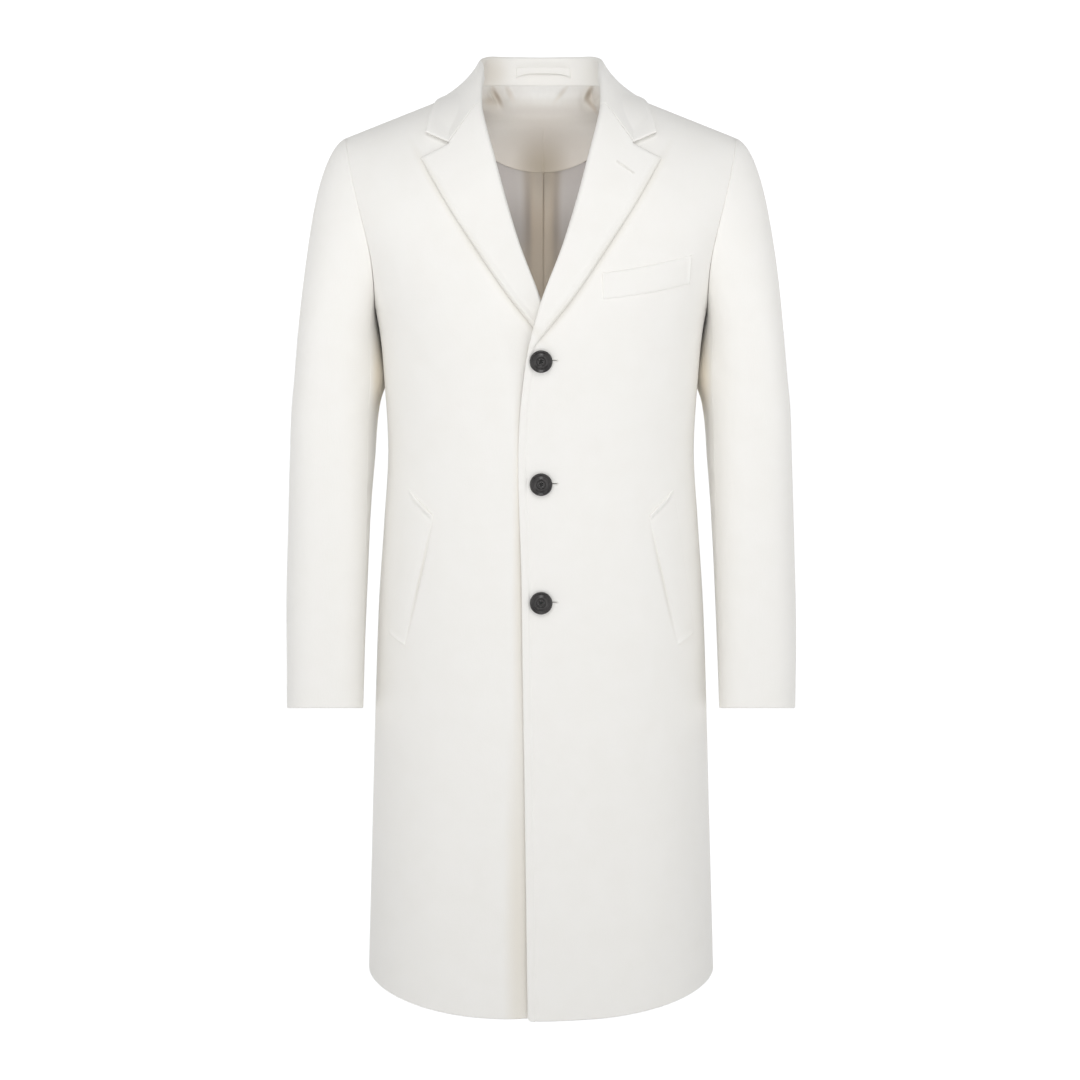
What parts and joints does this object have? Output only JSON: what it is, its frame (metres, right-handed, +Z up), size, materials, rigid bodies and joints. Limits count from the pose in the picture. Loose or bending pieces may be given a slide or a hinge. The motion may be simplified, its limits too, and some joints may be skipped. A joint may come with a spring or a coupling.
{
  "type": "long overcoat",
  "caption": "Long single-breasted overcoat in its worn shape, hollow, with a notched collar and lapels, a breast welt and slanted pocket welts, to be worn over other clothes.",
  "frame": {"origin": "middle of the neck base, level with the neck ends of the shoulder seams, where the wearer's shoulders and neck hold the coat up", "axes": "+Z up along the coat, -Y out of the front, +X to the wearer's left"},
  "size_m": [0.5888, 0.3017, 1.0903],
  "materials": {
    "wool": "matt off-white felted wool",
    "lining": "smooth beige satin",
    "horn": "dark polished horn"
  },
  "bodies": {
    "root": {"front_left": "wool", "front_right": "wool", "back_left": "wool", "back_right": "wool", "top_sleeve_left": "wool", "top_sleeve_right": "wool", "under_sleeve_left": "wool", "under_sleeve_right": "wool", "lapel_left": "wool", "lapel_right": "wool", "collar_fall": "wool", "collar_stand": "wool", "hanger_loop": "wool", "breast_welt": "wool", "pocket_welt_left": "wool", "pocket_welt_right": "wool", "back_lining_left": "lining", "back_lining_right": "lining", "yoke_facing": "lining", "button_top": "horn", "button_middle": "horn", "button_bottom": "horn"}
  },
  "joints": []
}
